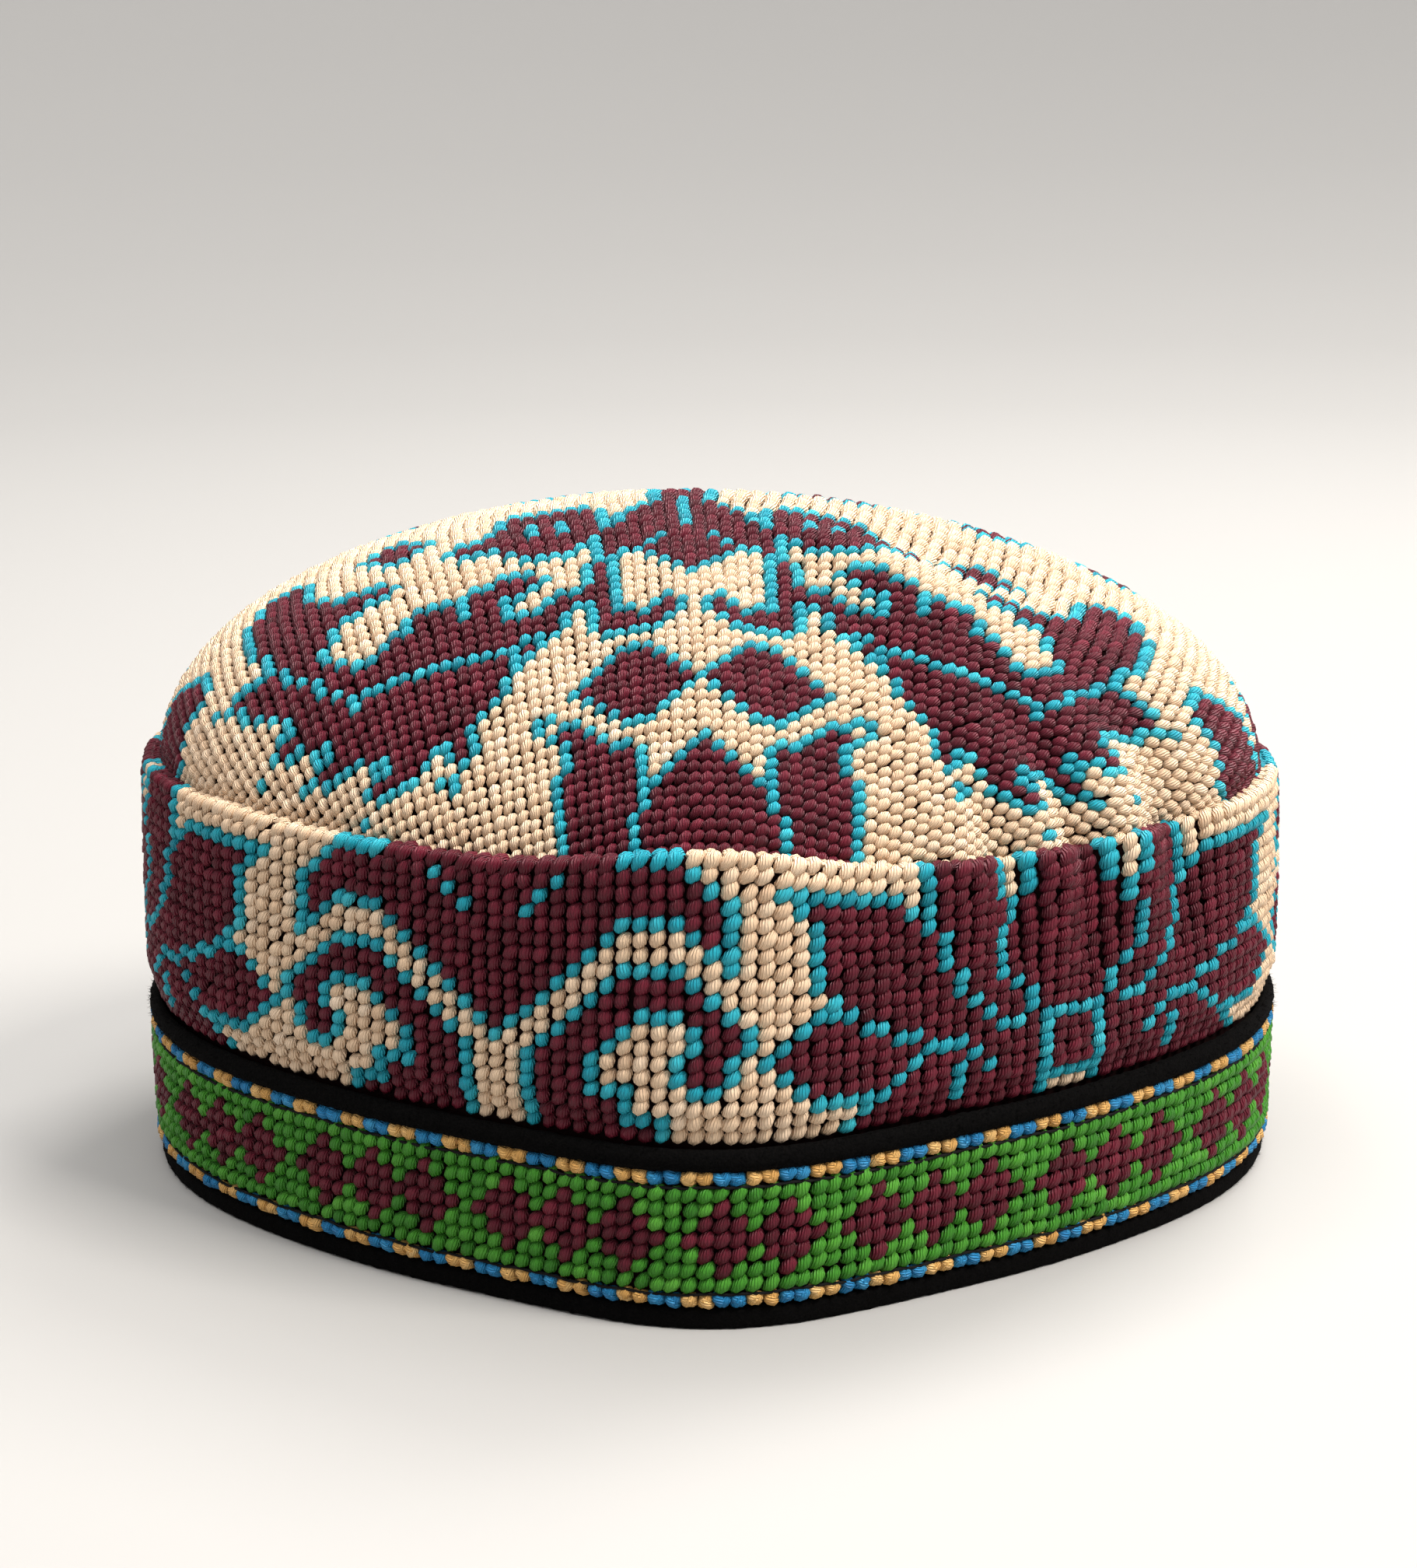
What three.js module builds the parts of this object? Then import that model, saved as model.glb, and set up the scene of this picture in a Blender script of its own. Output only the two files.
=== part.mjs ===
// A tubeteika skullcap standing on its rim: a domed crown of stitched cloth, an upright side wall with a
// rolled rim, a cord of piping, a trim band round the lower wall and a binding round the lower edge.
// Millimetres, +Z up. The front crease faces -Y, +X is to the right of that crease seen from the front,
// and the floor is z = 0. Angles run round the cap from the front crease towards +X.
import * as THREE from 'three';

// The plan: a soft-cornered rhombus, a mean radius with a few even waves round it.
const MEAN_RADIUS = 88.1;
const PLAN_WAVES = [
  { turns: 2, share: -0.095 },
  { turns: 4, share: 0.049 },
  { turns: 6, share: 0.005 },
  { turns: 8, share: 0.004 },
  { turns: 10, share: 0.003 },
];

// Heights of the stacked pieces on the outside.
const BINDING_TOP = 3.4;
const BAND_BOTTOM = 3.7;
const BAND_TOP = 26.1;
const PIPING_HEIGHT = 28.2;
const RIM_HEIGHT = 71.3;
const APEX = { x: -5.0, y: 0.0, z: 117.0 };

// Thicknesses and clearances.
const WALL_THICKNESS = 2.4;
const CROWN_THICKNESS = 2.0;
const BAND_THICKNESS = 1.4;
const GAP = 0.35;

// The wall tucks in behind the band and the piping, stands out above them and leans in at the rim.
const WALL_TUCK = BAND_THICKNESS + GAP;
const TUCK_TOP = 30.5;
const TUCK_FADE = 7.0;
const WALL_FOOT = 1.9;
const LEAN_FROM = 34.0;
const RIM_LEAN = 1.0;
const RIM_TILT = -1.6;
const GROOVE_DEPTH = 4.0;

// The piping's oval section and the binding's fold round the wall's foot.
const PIPING_HALF_HEIGHT = 1.75;
const PIPING_HALF_DEPTH = 1.15;
const PIPING_INSET = 0.1;
const BINDING_PROUD = 0.3;
const BINDING_LEG = 1.4;
const BINDING_INNER_TOP = 5.0;
const BINDING_SLOT_FLOOR = 1.5;
const BINDING_ROUND = 0.7;

// Rim peaks at the two creases: angle in degrees, rise, half width in degrees.
const CREASES = [
  { name: 'front', angle: 0, rise: 5.5, half: 17 },
  { name: 'back', angle: 180, rise: 4.0, half: 17 },
];

// Upright folds of the wall: inward depth at the rim, how far down they reach, and the rim's dip there.
const WALL_FOLDS = [
  { name: 'right dent, near', angle: 36.0, inward: 2.2, half: 3.4, reach: 26, dip: 1.2 },
  { name: 'right dent, middle', angle: 46.8, inward: 2.6, half: 3.4, reach: 30, dip: 1.8 },
  { name: 'right dent, far', angle: 60.5, inward: 2.8, half: 4.2, reach: 28, dip: 1.6 },
  { name: 'right bulge, near', angle: 30.0, inward: -1.2, half: 3.6, reach: 24, dip: -0.2 },
  { name: 'right bulge, middle', angle: 41.5, inward: -1.4, half: 3.2, reach: 24, dip: -0.3 },
  { name: 'right bulge, far', angle: 52.0, inward: -1.6, half: 4.0, reach: 26, dip: -0.6 },
  { name: 'front hollow', angle: 16.0, inward: 1.2, half: 7.0, reach: 30, dip: 0.6 },
  { name: 'left hollow', angle: -50.0, inward: 1.6, half: 7.0, reach: 30, dip: 1.0 },
];

// The crown's drop from the apex to its edge, as a share, is 1 - (1 - s^flat)^(1/round).
const CROWN_DROPS = {
  front: { flat: 1.5, round: 1.3 },
  side: { flat: 1.75, round: 2.3 },
};

// Soft folds of the crown: rise, half width in degrees, and the shares of the radius they run between.
const CROWN_FOLDS = [
  { name: 'right ridge', angle: 50, rise: 3.0, half: 12, from: 0.15, to: 0.9 },
  { name: 'valley behind it', angle: 76, rise: -4.0, half: 13, from: 0.2, to: 0.9 },
];

// The wall's folds run on into the crown's edge and die out as this power of the radius share.
const FOLD_FADE = 8;

// Fineness of the meshes.
const STATIONS = 112;
const CROWN_RINGS = 8;
const WALL_LEVELS = [0, 0.41, 0.51, 0.7, 0.86, 1];
const ROLL_STEPS = 4;
const PIPING_SIDES = 6;

const WALL_INNER_INSET = WALL_TUCK + WALL_THICKNESS + GAP;

function bell(angle, row) {
  const apart = THREE.MathUtils.euclideanModulo(THREE.MathUtils.radToDeg(angle) - row.angle + 180, 360) - 180;
  return Math.exp(-((apart / row.half) ** 2));
}

function planRadius(angle) {
  let sum = 1;
  for (const wave of PLAN_WAVES) {
    sum += wave.share * Math.cos(wave.turns * angle);
  }
  return MEAN_RADIUS * sum;
}

function planPoint(angle) {
  const r = planRadius(angle);
  return new THREE.Vector2(r * Math.sin(angle), -r * Math.cos(angle));
}

// A point inside the plan's outline, set in along the outline's normal.
function insetPoint(angle, inset) {
  const step = 1e-4;
  const along = planPoint(angle + step).sub(planPoint(angle - step)).normalize();
  return planPoint(angle).sub(new THREE.Vector2(along.y, -along.x).multiplyScalar(inset));
}

function rimHeight(angle, folded = 1) {
  let height = RIM_HEIGHT + RIM_TILT * Math.sin(angle);
  for (const crease of CREASES) {
    height += crease.rise * bell(angle, crease);
  }
  for (const fold of WALL_FOLDS) {
    height -= folded * fold.dip * bell(angle, fold);
  }
  return height;
}

// How far the wall's outer face is set in from the plan's outline.
function wallInset(angle, z, folded = 1) {
  const top = rimHeight(angle, folded);
  const tuck = WALL_TUCK * (1 - THREE.MathUtils.smoothstep(z, TUCK_TOP, TUCK_TOP + TUCK_FADE));
  const lean = RIM_LEAN * THREE.MathUtils.clamp((z - LEAN_FROM) / (top - LEAN_FROM), 0, 1) ** 2;
  let inset = tuck + lean;
  for (const fold of WALL_FOLDS) {
    const risen = THREE.MathUtils.smoothstep(z, top - fold.reach, top);
    inset += folded * fold.inward * bell(angle, fold) * risen;
  }
  return inset;
}

function dropShare(share, drop) {
  return 1 - (1 - share ** drop.flat) ** (1 / drop.round);
}

// A point of the crown's outer face, from the apex at share 0 to its edge in the groove at share 1.
function crownPoint(angle, share) {
  const folded = share ** FOLD_FADE;
  const top = rimHeight(angle, folded);
  const edge = insetPoint(angle, wallInset(angle, top, folded) + WALL_THICKNESS + GAP);
  const low = top - GROOVE_DEPTH;
  const sideways = Math.sin(angle) ** 2;
  const drop = THREE.MathUtils.lerp(
    dropShare(share, CROWN_DROPS.front),
    dropShare(share, CROWN_DROPS.side),
    sideways,
  );
  let z = APEX.z - (APEX.z - low) * drop;
  for (const fold of CROWN_FOLDS) {
    const along = THREE.MathUtils.clamp((share - fold.from) / (fold.to - fold.from), 0, 1);
    z += fold.rise * bell(angle, fold) * Math.sin(Math.PI * along) ** 2;
  }
  return new THREE.Vector3(
    THREE.MathUtils.lerp(APEX.x, edge.x, share),
    THREE.MathUtils.lerp(APEX.y, edge.y, share),
    z,
  );
}

function crownNormal(angle, share) {
  const step = 1e-3;
  const outer = Math.min(share + step, 1 - step);
  const outward = crownPoint(angle, outer).sub(crownPoint(angle, outer - 2 * step));
  const round = crownPoint(angle + step, share).sub(crownPoint(angle - step, share));
  return outward.cross(round).normalize();
}

function stationAngle(index) {
  return (index / STATIONS) * Math.PI * 2;
}

function closedGeometry(points, faces) {
  const geometry = new THREE.BufferGeometry();
  geometry.setAttribute('position', new THREE.Float32BufferAttribute(points.flatMap((p) => p.toArray()), 3));
  geometry.setIndex(faces);
  geometry.computeVertexNormals();
  return geometry;
}

// A ring whose section at each station is a closed loop of points, listed from the outside up and over.
function ringGeometry(sectionAt) {
  const points = [];
  for (let i = 0; i < STATIONS; i += 1) {
    points.push(...sectionAt(stationAngle(i)));
  }
  const size = points.length / STATIONS;
  const faces = [];
  for (let i = 0; i < STATIONS; i += 1) {
    const here = i * size;
    const next = ((i + 1) % STATIONS) * size;
    for (let j = 0; j < size; j += 1) {
      const k = (j + 1) % size;
      faces.push(here + j, next + j, next + k);
      faces.push(here + j, next + k, here + k);
    }
  }
  return closedGeometry(points, faces);
}

function sectionPoint(angle, inset, z) {
  const p = insetPoint(angle, inset);
  return new THREE.Vector3(p.x, p.y, z);
}

function wallSection(angle) {
  const roll = WALL_THICKNESS / 2;
  const shoulder = rimHeight(angle) - roll;
  const heights = WALL_LEVELS.map((level) => THREE.MathUtils.lerp(WALL_FOOT, shoulder, level));
  const outer = heights.map((z) => sectionPoint(angle, wallInset(angle, z), z));
  const inner = heights.map((z) => sectionPoint(angle, wallInset(angle, z) + WALL_THICKNESS, z));
  const middle = wallInset(angle, shoulder) + roll;
  const over = [];
  for (let i = 1; i < ROLL_STEPS; i += 1) {
    const turn = (i / ROLL_STEPS) * Math.PI;
    over.push(sectionPoint(angle, middle - roll * Math.cos(turn), shoulder + roll * Math.sin(turn)));
  }
  return [...outer, ...over, ...inner.reverse()];
}

function bandSection(angle) {
  const corners = [
    [0, BAND_BOTTOM],
    [0, (BAND_BOTTOM + BAND_TOP) / 2],
    [0, BAND_TOP],
    [BAND_THICKNESS, BAND_TOP],
    [BAND_THICKNESS, BAND_BOTTOM],
  ];
  return corners.map(([inset, z]) => sectionPoint(angle, inset, z));
}

function pipingSection(angle) {
  const loop = [];
  for (let i = 0; i < PIPING_SIDES; i += 1) {
    const turn = (i / PIPING_SIDES) * Math.PI * 2;
    const inset = PIPING_INSET - PIPING_HALF_DEPTH * Math.cos(turn);
    loop.push(sectionPoint(angle, inset, PIPING_HEIGHT + PIPING_HALF_HEIGHT * Math.sin(turn)));
  }
  return loop;
}

// The binding folds under the wall's foot: a short outer leg, a flat sole and a taller inner leg.
function bindingSection(angle) {
  const outside = -BINDING_PROUD;
  const inside = WALL_INNER_INSET + BINDING_LEG;
  const corners = [
    [outside + BINDING_ROUND, 0],
    [outside, BINDING_ROUND],
    [outside, BINDING_TOP],
    [WALL_TUCK - GAP, BINDING_TOP],
    [WALL_TUCK - GAP, BINDING_SLOT_FLOOR],
    [WALL_INNER_INSET, BINDING_SLOT_FLOOR],
    [WALL_INNER_INSET, BINDING_INNER_TOP],
    [inside, BINDING_INNER_TOP],
    [inside, BINDING_ROUND],
    [inside - BINDING_ROUND, 0],
  ];
  return corners.map(([inset, z]) => sectionPoint(angle, inset, z));
}

// The dome: an outer and an inner face from the apex to the edge, joined round the edge.
function crownGeometry() {
  const layers = [0, CROWN_THICKNESS];
  const points = [];
  const faces = [];
  const starts = [];
  for (const depth of layers) {
    starts.push(points.length);
    points.push(new THREE.Vector3(APEX.x, APEX.y, APEX.z - depth));
    for (let ring = 1; ring <= CROWN_RINGS; ring += 1) {
      const share = Math.sin((ring / CROWN_RINGS) * (Math.PI / 2));
      for (let i = 0; i < STATIONS; i += 1) {
        const angle = stationAngle(i);
        const inward = crownNormal(angle, share).multiplyScalar(-depth);
        points.push(crownPoint(angle, share).add(inward));
      }
    }
  }
  const at = (layer, ring, i) => starts[layer] + 1 + (ring - 1) * STATIONS + (i % STATIONS);
  const quad = (a, b, c, d) => faces.push(a, b, c, a, c, d);
  for (let i = 0; i < STATIONS; i += 1) {
    faces.push(starts[0], at(0, 1, i), at(0, 1, i + 1));
    faces.push(starts[1], at(1, 1, i + 1), at(1, 1, i));
    for (let ring = 1; ring < CROWN_RINGS; ring += 1) {
      quad(at(0, ring, i), at(0, ring + 1, i), at(0, ring + 1, i + 1), at(0, ring, i + 1));
      quad(at(1, ring, i), at(1, ring, i + 1), at(1, ring + 1, i + 1), at(1, ring + 1, i));
    }
    quad(
      at(0, CROWN_RINGS, i),
      at(1, CROWN_RINGS, i),
      at(1, CROWN_RINGS, i + 1),
      at(0, CROWN_RINGS, i + 1),
    );
  }
  return closedGeometry(points, faces);
}

function piece(name, geometry, colour, roughness) {
  const material = new THREE.MeshStandardMaterial({ color: colour, roughness, metalness: 0 });
  const mesh = new THREE.Mesh(geometry, material);
  mesh.name = name;
  return mesh;
}

const cap = new THREE.Group();
cap.add(piece('crown', crownGeometry(), 0x96505c, 0.85));
cap.add(piece('side_wall', ringGeometry(wallSection), 0x7a3440, 0.85));
cap.add(piece('piping', ringGeometry(pipingSection), 0x0e0c0c, 0.95));
cap.add(piece('trim_band', ringGeometry(bandSection), 0x46803a, 0.85));
cap.add(piece('bottom_binding', ringGeometry(bindingSection), 0x0e0c0c, 0.95));

export default cap;
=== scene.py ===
"""A tubeteika skullcap with every stitch modelled, standing on a plain floor."""
import math

import bpy
import numpy as np
from mathutils import Matrix, Vector


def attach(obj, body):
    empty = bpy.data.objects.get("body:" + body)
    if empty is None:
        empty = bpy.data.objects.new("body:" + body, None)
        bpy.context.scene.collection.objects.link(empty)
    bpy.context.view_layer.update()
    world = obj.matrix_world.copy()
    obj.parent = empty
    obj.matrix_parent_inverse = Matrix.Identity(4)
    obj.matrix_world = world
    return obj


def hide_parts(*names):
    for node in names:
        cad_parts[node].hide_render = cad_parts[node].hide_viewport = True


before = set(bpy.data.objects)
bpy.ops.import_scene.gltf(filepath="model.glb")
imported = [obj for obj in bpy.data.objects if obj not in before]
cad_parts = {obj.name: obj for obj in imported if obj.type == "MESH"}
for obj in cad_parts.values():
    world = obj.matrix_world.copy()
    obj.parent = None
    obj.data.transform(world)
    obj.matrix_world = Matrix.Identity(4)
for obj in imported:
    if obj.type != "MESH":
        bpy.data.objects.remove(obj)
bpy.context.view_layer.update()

MM = 0.001
rng = np.random.default_rng(20)

# The cap's shape in millimetres, the same as the solids' but for deeper folds in the wall.
MEAN_RADIUS = 88.1
PLAN_WAVES = ((2, -0.095), (4, 0.049), (6, 0.005), (8, 0.004), (10, 0.003))
RIM_HEIGHT = 71.3
RIM_TILT = -1.6
APEX = (-5.0, 0.0, 117.0)
WALL_THICKNESS = 2.4
CROWN_THICKNESS = 2.0
GAP = 0.35
WALL_TUCK = 1.75
TUCK_TOP = 30.5
TUCK_FADE = 7.0
LEAN_FROM = 34.0
RIM_LEAN = 1.0
GROOVE_DEPTH = 4.0
FOLD_FADE = 8

# Rim peaks: angle in degrees, rise, half width in degrees.
CREASES = ((0, 5.5, 17), (180, 4.0, 17))

# Upright folds of the wall: angle, inward depth at the rim, half width, reach down, dip of the rim.
WALL_FOLDS = (
    (36.0, 3.2, 3.4, 30, 1.4),
    (46.8, 3.8, 3.4, 34, 2.0),
    (60.5, 4.0, 4.2, 32, 1.8),
    (30.0, -1.6, 3.6, 26, -0.2),
    (41.5, -1.9, 3.2, 26, -0.3),
    (52.0, -2.2, 4.0, 28, -0.6),
    (16.0, 1.2, 7.0, 30, 0.6),
    (-50.0, 1.6, 7.0, 30, 1.0),
)

# The crown's profile to the front and to the side, and its soft folds:
# angle, rise, half width, and the shares of the radius that the fold runs between.
DROP_FRONT = (1.5, 1.3)
DROP_SIDE = (1.75, 2.3)
CROWN_FOLDS = ((50, 3.0, 12, 0.15, 0.9), (76, -4.0, 13, 0.2, 0.9))


def bell(angle, centre, half):
    apart = (np.degrees(angle) - centre + 180) % 360 - 180
    return np.exp(-((apart / half) ** 2))


def smoothstep(x, low, high):
    t = np.clip((x - low) / (high - low), 0, 1)
    return t * t * (3 - 2 * t)


def plan_point(angle):
    r = MEAN_RADIUS * (1 + sum(share * np.cos(turns * angle) for turns, share in PLAN_WAVES))
    return np.stack([r * np.sin(angle), -r * np.cos(angle)], -1)


def inset_point(angle, inset):
    """A point inside the plan's outline, set in along the outline's normal."""
    step = 1e-4
    along = plan_point(angle + step) - plan_point(angle - step)
    along /= np.linalg.norm(along, axis=-1, keepdims=True)
    outward = np.stack([along[..., 1], -along[..., 0]], -1)
    return plan_point(angle) - outward * np.asarray(inset)[..., None]


def ring_point(angle, inset, z):
    angle, inset, z = np.broadcast_arrays(angle, inset, z)
    return np.concatenate([inset_point(angle, inset), np.asarray(z, float)[..., None]], -1)


def rim_height(angle, folded=1.0):
    height = RIM_HEIGHT + RIM_TILT * np.sin(angle)
    for centre, rise, half in CREASES:
        height = height + rise * bell(angle, centre, half)
    for centre, _, half, _, dip in WALL_FOLDS:
        height = height - folded * dip * bell(angle, centre, half)
    return height


def wall_inset(angle, z, folded=1.0):
    top = rim_height(angle, folded)
    inset = WALL_TUCK * (1 - smoothstep(z, TUCK_TOP, TUCK_TOP + TUCK_FADE))
    inset = inset + RIM_LEAN * np.clip((z - LEAN_FROM) / (top - LEAN_FROM), 0, 1) ** 2
    for centre, inward, half, reach, _ in WALL_FOLDS:
        inset = inset + folded * inward * bell(angle, centre, half) * smoothstep(z, top - reach, top)
    return inset


def crown_point(angle, share):
    folded = share ** FOLD_FADE
    top = rim_height(angle, folded)
    edge = inset_point(angle, wall_inset(angle, top, folded) + WALL_THICKNESS + GAP)
    low = top - GROOVE_DEPTH
    rest = np.clip(1 - share ** DROP_FRONT[0], 0, 1)
    drop_front = 1 - rest ** (1 / DROP_FRONT[1])
    rest = np.clip(1 - share ** DROP_SIDE[0], 0, 1)
    drop_side = 1 - rest ** (1 / DROP_SIDE[1])
    sideways = np.sin(angle) ** 2
    z = APEX[2] - (APEX[2] - low) * (drop_front * (1 - sideways) + drop_side * sideways)
    for centre, rise, half, start, end in CROWN_FOLDS:
        along = np.clip((share - start) / (end - start), 0, 1)
        z = z + rise * bell(angle, centre, half) * np.sin(np.pi * along) ** 2
    x = APEX[0] + (edge[..., 0] - APEX[0]) * share
    y = APEX[1] + (edge[..., 1] - APEX[1]) * share
    return np.stack([x, y, z], -1)


def unit(v):
    return v / (np.linalg.norm(v, axis=-1, keepdims=True) + 1e-12)


def run_along(points):
    """The length along each row of points, from nought at its first."""
    steps = np.linalg.norm(np.diff(points, axis=-2), axis=-1)
    return np.concatenate([np.zeros_like(steps[..., :1]), np.cumsum(steps, axis=-1)], axis=-1)


# Arc length round the plan, from the front crease towards +X.
TURNS = np.linspace(-np.pi, np.pi, 4321)
RUN = run_along(plan_point(TURNS))
RUN -= RUN[len(RUN) // 2]
ROUND = RUN[-1] - RUN[0]


def angle_at(run):
    run = (np.asarray(run, float) + ROUND / 2) % ROUND - ROUND / 2
    return np.interp(run, RUN, TURNS)


# The wall's stitched face: up from the piping, over the rolled rim and down into the groove.
WALL_START = 30.3
ROLL = WALL_THICKNESS / 2
WALL_ROWS = 19
ROWS_IN_GROOVE = 2


def wall_face(run, row):
    """A point of the wall's face at a run round the plan and a row counted up from the piping."""
    angle = angle_at(run)
    shoulder = rim_height(angle) - ROLL
    upright = shoulder - WALL_START
    u = row * (upright + ROLL * np.pi / 2) / WALL_ROWS
    turn = np.clip((u - upright) / ROLL, 0, np.pi)
    sunk = np.clip(u - upright - np.pi * ROLL, 0, None)
    rising = u < upright
    z = np.where(rising, WALL_START + u, shoulder + ROLL * np.sin(turn) - sunk)
    middle = wall_inset(angle, shoulder) + ROLL
    inset = np.where(rising, wall_inset(angle, z), middle - ROLL * np.cos(turn))
    return ring_point(angle, inset, z)


BAND_COLUMNS = 220


def band_face(run, z):
    return ring_point(angle_at(run), np.zeros_like(np.asarray(z, float)), z)


# The crown's stitch grid: columns to the right of the apex and rows forward of it, 46 to the edge.
CROWN_STITCHES = 46.0
SHARE_STEPS = 160
ANGLE_STEPS = 360
shares = np.linspace(0, 1, SHARE_STEPS + 1)
angles = np.radians(np.linspace(-180, 180, ANGLE_STEPS + 1))
grid_angle, grid_share = np.meshgrid(angles, shares, indexing="ij")
grid_points = crown_point(grid_angle, grid_share)
ARC = run_along(grid_points)
ARC /= ARC[:, -1:]
edge_run = run_along(grid_points[:, -1, :2])
EDGE_TURN = (edge_run - np.interp(0, angles, edge_run)) / edge_run[-1] * 2 * np.pi


def crown_face(column, row):
    """A point of the crown's face, with stitches evenly spaced out from the apex along its surface."""
    column, row = np.broadcast_arrays(np.asarray(column, float), np.asarray(row, float))
    angle = np.interp(np.arctan2(column, row), EDGE_TURN, angles)
    place = np.clip(np.hypot(column, row) / CROWN_STITCHES, 0, 1)
    index = np.rint((angle + np.pi) / (2 * np.pi) * ANGLE_STEPS).astype(int)
    index = np.clip(index, 0, ANGLE_STEPS)
    share = np.empty_like(place)
    for k in np.unique(index):
        m = index == k
        share[m] = np.interp(place[m], ARC[k], shares)
    return crown_point(angle, share)


# The wall's embroidery, half of each motif, a letter for each stitch: i ivory, b burgundy, t turquoise.
# Rows run from the piping up to the rim. Motif A starts on its axis, and motif B ends on its axis.
WALL_A = (
    "iitbbbbbbbtiiiiii",
    "iitbbbbbtttiiiiii",
    "iitbbbbbtiiiiiiii",
    "iitbbbtttiiittiii",
    "iitbbbtiiiitbbtii",
    "iitbbbtiiiitbbtit",
    "tiitbbbtiiiitbbti",
    "btiitbbbtiiitbbti",
    "bbtiitbbbtttbbtii",
    "bbbtiitbbbbbbtiii",
    "bbbbtiitbbbbtiiii",
    "bbbbbtiittttiitii",
    "bbbbbbtiiiiiittii",
    "bbbbbbbtiiiitbtii",
    "bbbbbbbbttttbbtii",
    "bbtbbbbbbbbbbbtii",
    "bbbtbbbbbbbbbtiii",
    "bbbbtbbbbbbbtiiii",
    "bbbbbbbbttttiiiii",
)
WALL_B = (
    "iiiitbbbbbbbbbbbbtii",
    "iiiiitbbbbbtbbbbbttt",
    "iitttttbbbbtbbbbbtbb",
    "itbbbbbtbbbtbtbbbtbb",
    "tbbbbbbbtbbbtbbbbtbb",
    "bbbbbbbbbtttbbbbbtbb",
    "tbbbbbbttbbbbbttbttt",
    "itbbbttbbbbbbtbbtbbb",
    "iitttbbbbbbbtbbbtbbb",
    "iiitbbbbbbbtbbbtbbbb",
    "iitbbbbbbbbtbbtbbbbb",
    "iitbbbbbbbtbbbtbbbbb",
    "iitbbbbbbbtbbbtbbbbb",
    "iitbbbbbbbtbbbtbbbbb",
    "iitbbbbbbtbbbbbtbbbb",
    "itbbbbbbttbbbbbtbbbb",
    "ttttttttitbbbbtitbbb",
    "iiiiiiiiitbbbbtitbbb",
    "iiiiiiiiitbbbbtitbbb",
)
WALL_COLUMNS = 204
CREASE_COLUMN = 12.6


def wall_row(row):
    """The letters once round the wall from its join at the back, with motif A's axis left of the crease."""
    right = WALL_A[row]
    left = WALL_B[row]
    pair = right + left + left[-2::-1] + right[:0:-1]
    first = round(CREASE_COLUMN - WALL_COLUMNS / 2)
    return [pair[(first + k) % len(pair)] for k in range(WALL_COLUMNS)]


# The crown's embroidery, a quarter of it: burgundy runs of columns in each row out from the apex.
# Every burgundy patch is outlined in turquoise, and the rest is ivory.
CROWN_RUNS = {
    0: ((0, 1), (40, 46)),
    1: ((0, 1), (41, 46)),
    2: ((1, 1), (42, 46)),
    3: ((1, 2), (43, 46)),
    4: ((1, 3), (7, 12), (20, 21), (44, 46)),
    5: ((1, 4), (7, 12), (19, 22), (28, 30)),
    6: ((1, 4), (7, 8), (10, 10), (12, 13), (20, 21), (28, 30), (40, 46)),
    7: ((1, 5), (7, 8), (10, 10), (12, 14), (28, 31), (39, 46)),
    8: ((0, 6), (7, 16), (28, 31), (38, 45)),
    9: ((0, 1), (3, 6), (8, 13), (27, 31), (37, 45)),
    10: ((0, 2), (4, 6), (9, 12), (26, 31), (37, 45)),
    11: ((0, 3), (6, 6), (22, 31), (37, 44)),
    12: ((0, 2), (24, 31), (40, 44)),
    13: ((0, 1), (7, 7), (26, 30), (41, 44)),
    14: ((0, 0), (7, 7), (12, 14), (27, 30)),
    15: ((7, 7), (13, 16), (27, 30)),
    16: ((7, 8), (15, 16), (18, 20), (28, 29), (31, 34)),
    17: ((7, 10), (15, 16), (18, 20), (28, 29), (31, 33)),
    18: ((7, 7), (10, 11), (15, 22), (27, 28), (30, 33)),
    19: ((2, 2), (7, 7), (11, 23), (26, 27), (29, 32)),
    20: ((2, 3), (5, 7), (11, 27), (29, 31)),
    21: ((3, 7), (14, 26), (28, 30)),
    22: ((13, 13), (27, 30)),
    23: ((15, 25), (27, 32)),
    24: ((15, 30),),
    25: ((4, 6), (16, 28)),
    26: ((3, 7), (16, 28)),
    27: ((2, 8), (17, 30)),
    28: ((1, 9), (18, 26)),
    29: ((2, 8), (19, 24)),
    30: ((3, 7), (19, 19), (22, 24)),
    31: ((4, 6), (19, 19), (23, 26)),
    32: ((10, 11),),
    33: ((9, 10),),
    34: ((8, 10),),
    35: ((0, 0), (6, 10)),
    36: ((0, 1), (6, 11)),
    37: ((0, 2), (6, 11)),
    38: ((0, 3), (6, 11)),
    39: ((0, 4), (6, 11)),
    40: ((0, 4), (6, 11)),
    41: ((0, 5), (7, 11)),
    42: ((0, 5), (7, 11)),
    43: ((0, 5), (7, 11)),
    44: ((0, 5), (7, 11)),
    45: ((0, 5), (7, 11)),
    46: ((0, 5), (7, 11)),
}
# Turquoise stitches beyond the outlines: column, row.
CROWN_TIPS = (
    (13, 31), (13, 30), (12, 30), (20, 33), (20, 34),
    (21, 33), (28, 33), (32, 27), (35, 24), (36, 15),
)


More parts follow.
